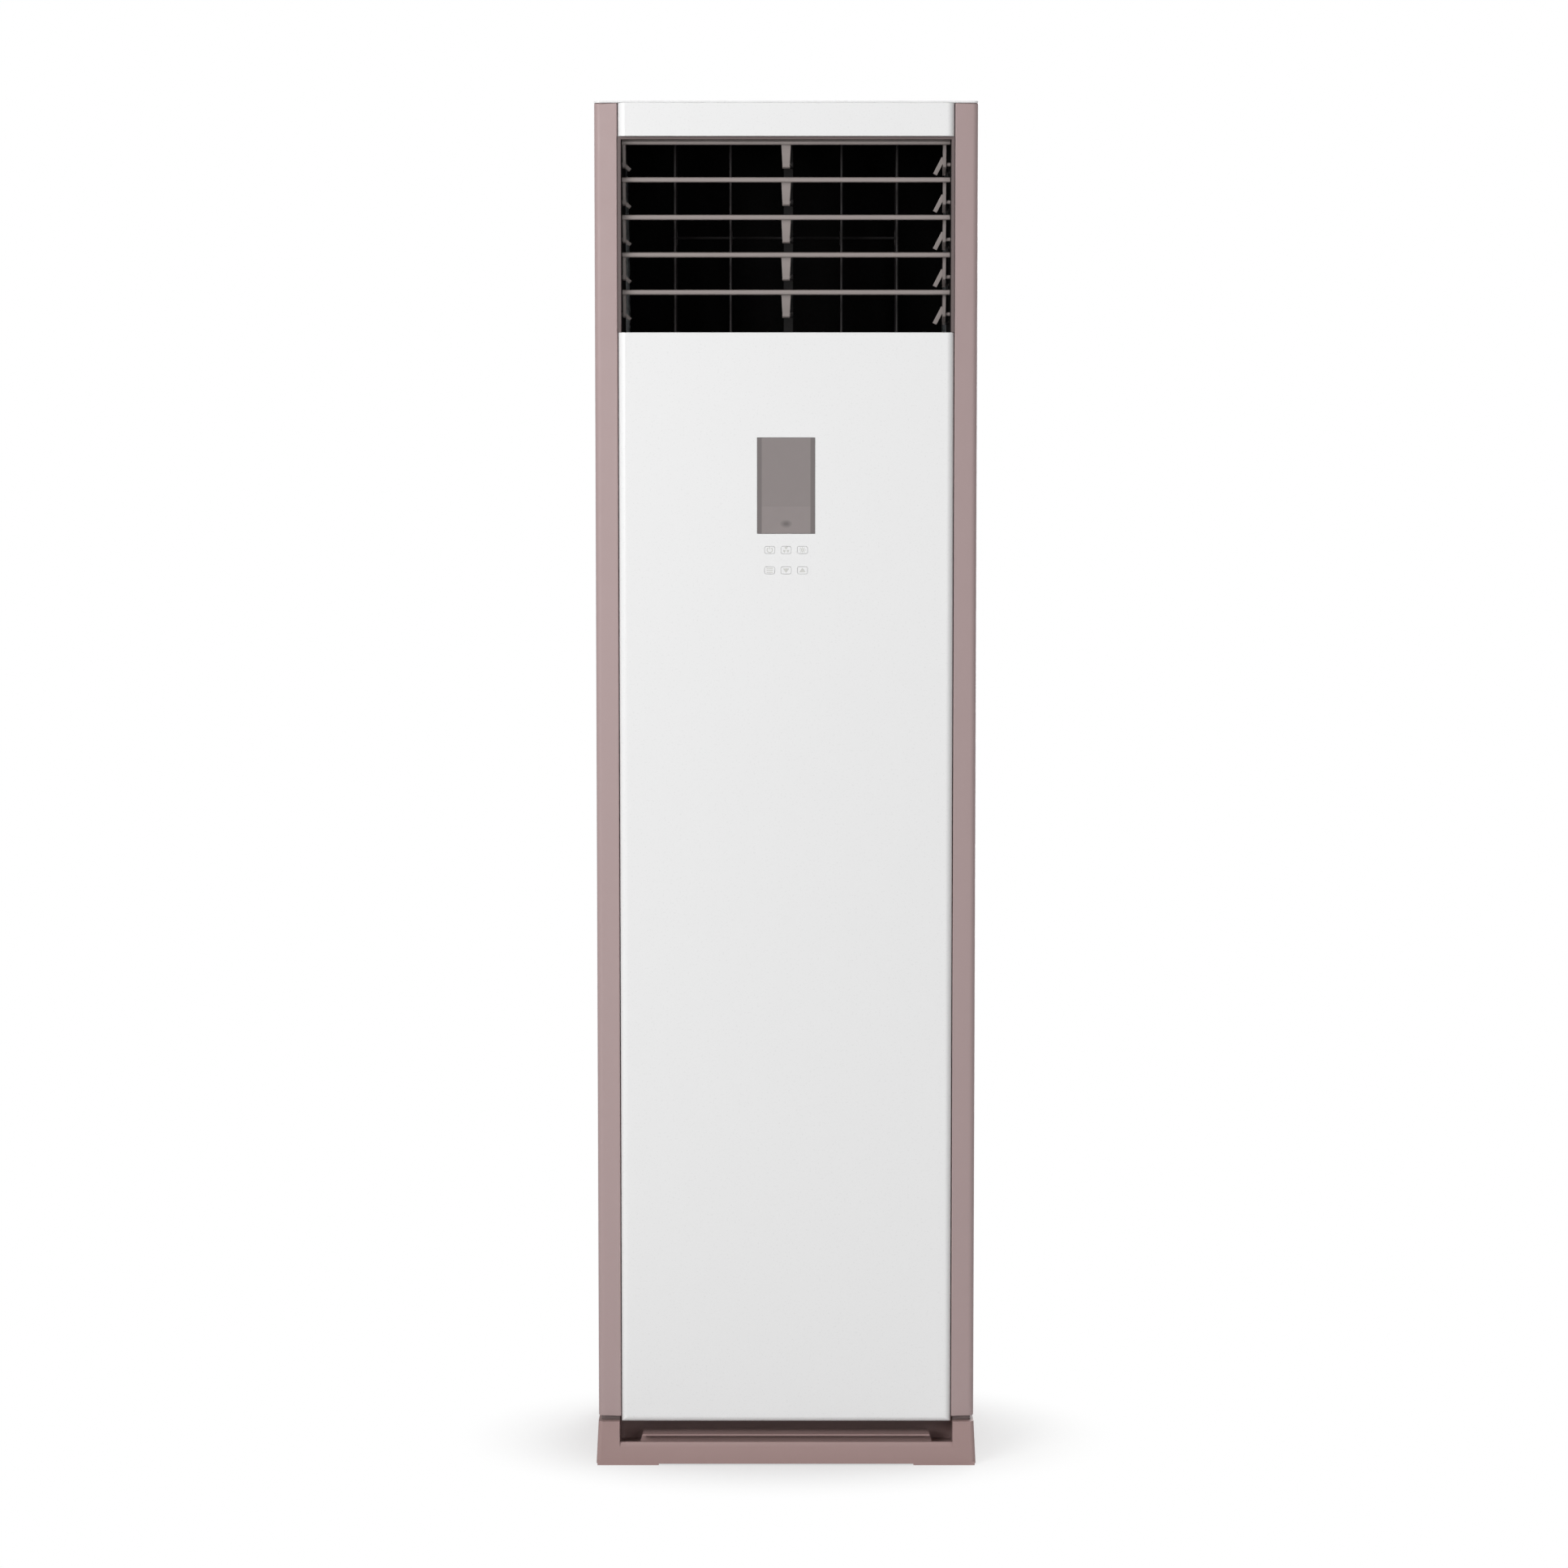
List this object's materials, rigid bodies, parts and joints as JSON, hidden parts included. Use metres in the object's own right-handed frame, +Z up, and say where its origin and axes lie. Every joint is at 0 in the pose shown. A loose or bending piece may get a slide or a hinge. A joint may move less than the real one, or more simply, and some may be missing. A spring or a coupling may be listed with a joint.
{
  "type": "floor standing air conditioner",
  "caption": "Tall floor standing air conditioner with louvered front outlet, flat front panel with display and keys, corner columns and side intakes",
  "frame": {"origin": "on the floor, in the middle of the plan", "axes": "+Z up, the front faces -Y, +X to the right seen from the front"},
  "size_m": [0.4958, 0.33, 1.765],
  "materials": {
    "rose_plastic": "satin moulded, rose taupe",
    "white_plastic": "satin gloss",
    "white_sheet": "powder coated",
    "taupe_plastic": "satin moulded",
    "dark_taupe_plastic": "satin moulded",
    "black_plastic": "moulded, matt",
    "smoked_lens": "clear gloss over grey",
    "galvanised_steel": "zinc coated sheet",
    "bright_steel": "turned",
    "fin_aluminium": "bare fins",
    "copper_pipe": "drawn copper",
    "white_foam": "moulded bead foam",
    "black_foam": "moulded bead foam",
    "grey_plastic": "moulded",
    "filter_mesh": "woven nylon",
    "black_rubber": "matt",
    "circuit_board": "lacquered"
  },
  "bodies": {
    "cabinet": {"base_tray": "rose_plastic", "plinth_ring": "dark_taupe_plastic", "base_pan": "galvanised_steel", "column_left": "rose_plastic", "column_right": "rose_plastic", "front_panel": "white_plastic", "header_panel": "white_plastic", "top_cover": "white_plastic", "side_panel_left": "white_sheet", "side_panel_right": "white_sheet", "rear_panel": "galvanised_steel", "pipe_grommet": "black_rubber", "cable_gland": "black_plastic", "display_window": "smoked_lens", "display_housing": "black_plastic", "outlet_bezel": "dark_taupe_plastic", "outlet_duct": "black_plastic", "louver_motor": "grey_plastic", "vane_motor": "grey_plastic", "fan_scroll": "grey_plastic", "bellmouth": "grey_plastic", "fan_motor": "galvanised_steel", "motor_bracket": "galvanised_steel", "deck_plate": "galvanised_steel", "drain_pan": "white_foam", "evaporator_fins": "fin_aluminium", "coil_end_plate_left": "galvanised_steel", "coil_end_plate_right": "galvanised_steel", "gas_pipe": "copper_pipe", "liquid_pipe": "copper_pipe", "drain_hose": "grey_plastic", "front_insulation": "white_foam", "air_guide": "black_foam", "electric_box": "galvanised_steel", "electric_box_cover": "galvanised_steel", "control_board": "circuit_board"},
    "intake_left": {"intake_grille_left": "white_plastic", "air_filter_left": "filter_mesh"},
    "intake_right": {"intake_grille_right": "white_plastic", "air_filter_right": "filter_mesh"},
    "fan": {"fan_impeller": "grey_plastic", "motor_shaft": "bright_steel"},
    "louver_link": {"louver_link": "black_plastic"},
    "vane_link": {"vane_link": "black_plastic"},
    "louver_1": {"louver_1": "taupe_plastic"},
    "vane_1": {"vane_1": "black_plastic"},
    "louver_2": {"louver_2": "taupe_plastic"},
    "vane_2": {"vane_2": "black_plastic"},
    "louver_3": {"louver_3": "taupe_plastic"},
    "vane_3": {"vane_3": "black_plastic"},
    "louver_4": {"louver_4": "taupe_plastic"},
    "vane_4": {"vane_4": "black_plastic"},
    "louver_5": {"louver_5": "taupe_plastic"},
    "vane_5": {"vane_5": "black_plastic"},
    "key_1": {"key_1": "white_plastic"},
    "key_2": {"key_2": "white_plastic"},
    "key_3": {"key_3": "white_plastic"},
    "key_4": {"key_4": "white_plastic"},
    "key_5": {"key_5": "white_plastic"},
    "key_6": {"key_6": "white_plastic"}
  },
  "joints": [
    {"name": "louver_tilt_3", "type": "hinge", "parent": "cabinet", "child": "louver_3", "pos_m": [0, -0.121, 1.5922], "axis": [1, 0, 0], "range_deg": [-15, 88]},
    {"name": "louver_tilt_1", "type": "hinge", "parent": "cabinet", "child": "louver_1", "pos_m": [0, -0.121, 1.6876], "axis": [1, 0, 0], "range_deg": [-15, 88]},
    {"name": "louver_tilt_2", "type": "hinge", "parent": "cabinet", "child": "louver_2", "pos_m": [0, -0.121, 1.6399], "axis": [1, 0, 0], "range_deg": [-15, 88]},
    {"name": "louver_tilt_4", "type": "hinge", "parent": "cabinet", "child": "louver_4", "pos_m": [0, -0.121, 1.5445], "axis": [1, 0, 0], "range_deg": [-15, 88]},
    {"name": "louver_tilt_5", "type": "hinge", "parent": "cabinet", "child": "louver_5", "pos_m": [0, -0.121, 1.4968], "axis": [1, 0, 0], "range_deg": [-15, 88]},
    {"name": "louver_link_pivot", "type": "hinge", "parent": "louver_3", "child": "louver_link", "pos_m": [0.2077, -0.10789, 1.58302], "axis": [1, 0, 0], "range_deg": [-88, 15]},
    {"name": "vane_swing_3", "type": "hinge", "parent": "cabinet", "child": "vane_3", "pos_m": [0, -0.036, 1.60055], "axis": [0, 0, 1], "range_deg": [-35, 35]},
    {"name": "vane_swing_1", "type": "hinge", "parent": "cabinet", "child": "vane_1", "pos_m": [-0.144, -0.036, 1.60055], "axis": [0, 0, 1], "range_deg": [-35, 35]},
    {"name": "vane_swing_2", "type": "hinge", "parent": "cabinet", "child": "vane_2", "pos_m": [-0.072, -0.036, 1.60055], "axis": [0, 0, 1], "range_deg": [-35, 35]},
    {"name": "vane_swing_4", "type": "hinge", "parent": "cabinet", "child": "vane_4", "pos_m": [0.072, -0.036, 1.60055], "axis": [0, 0, 1], "range_deg": [-35, 35]},
    {"name": "vane_swing_5", "type": "hinge", "parent": "cabinet", "child": "vane_5", "pos_m": [0.144, -0.036, 1.60055], "axis": [0, 0, 1], "range_deg": [-35, 35]},
    {"name": "vane_link_pivot", "type": "hinge", "parent": "vane_3", "child": "vane_link", "pos_m": [0, -0.016, 1.60055], "axis": [0, 0, 1], "range_deg": [-35, 35]},
    {"name": "key_press_1", "type": "slide", "parent": "cabinet", "child": "key_1", "axis": [0, 1, 0], "range_m": [0, 0.0006], "stiffness_N_per_m": 400, "springref_m": -0.001},
    {"name": "key_press_2", "type": "slide", "parent": "cabinet", "child": "key_2", "axis": [0, 1, 0], "range_m": [0, 0.0006], "stiffness_N_per_m": 400, "springref_m": -0.001},
    {"name": "key_press_3", "type": "slide", "parent": "cabinet", "child": "key_3", "axis": [0, 1, 0], "range_m": [0, 0.0006], "stiffness_N_per_m": 400, "springref_m": -0.001},
    {"name": "key_press_4", "type": "slide", "parent": "cabinet", "child": "key_4", "axis": [0, 1, 0], "range_m": [0, 0.0006], "stiffness_N_per_m": 400, "springref_m": -0.001},
    {"name": "key_press_5", "type": "slide", "parent": "cabinet", "child": "key_5", "axis": [0, 1, 0], "range_m": [0, 0.0006], "stiffness_N_per_m": 400, "springref_m": -0.001},
    {"name": "key_press_6", "type": "slide", "parent": "cabinet", "child": "key_6", "axis": [0, 1, 0], "range_m": [0, 0.0006], "stiffness_N_per_m": 400, "springref_m": -0.001},
    {"name": "fan_spin", "type": "hinge", "parent": "cabinet", "child": "fan", "pos_m": [-0.012, 0.05, 0.32], "axis": [0, 1, 0], "continuous": true},
    {"name": "intake_left_hinge", "type": "hinge", "parent": "cabinet", "child": "intake_left", "pos_m": [-0.2461, -0.01, 0.138], "axis": [0, -1, 0], "range_deg": [0, 35]},
    {"name": "intake_right_hinge", "type": "hinge", "parent": "cabinet", "child": "intake_right", "pos_m": [0.2461, -0.01, 0.138], "axis": [0, 1, 0], "range_deg": [0, 35]}
  ],
  "couplings": [
    {"joint": "louver_tilt_1", "follows": "louver_tilt_3", "ratio": 1},
    {"joint": "louver_tilt_2", "follows": "louver_tilt_3", "ratio": 1},
    {"joint": "louver_tilt_4", "follows": "louver_tilt_3", "ratio": 1},
    {"joint": "louver_tilt_5", "follows": "louver_tilt_3", "ratio": 1},
    {"joint": "louver_link_pivot", "follows": "louver_tilt_3", "ratio": -1},
    {"joint": "vane_swing_1", "follows": "vane_swing_3", "ratio": 1},
    {"joint": "vane_swing_2", "follows": "vane_swing_3", "ratio": 1},
    {"joint": "vane_swing_4", "follows": "vane_swing_3", "ratio": 1},
    {"joint": "vane_swing_5", "follows": "vane_swing_3", "ratio": 1},
    {"joint": "vane_link_pivot", "follows": "vane_swing_3", "ratio": -1}
  ]
}
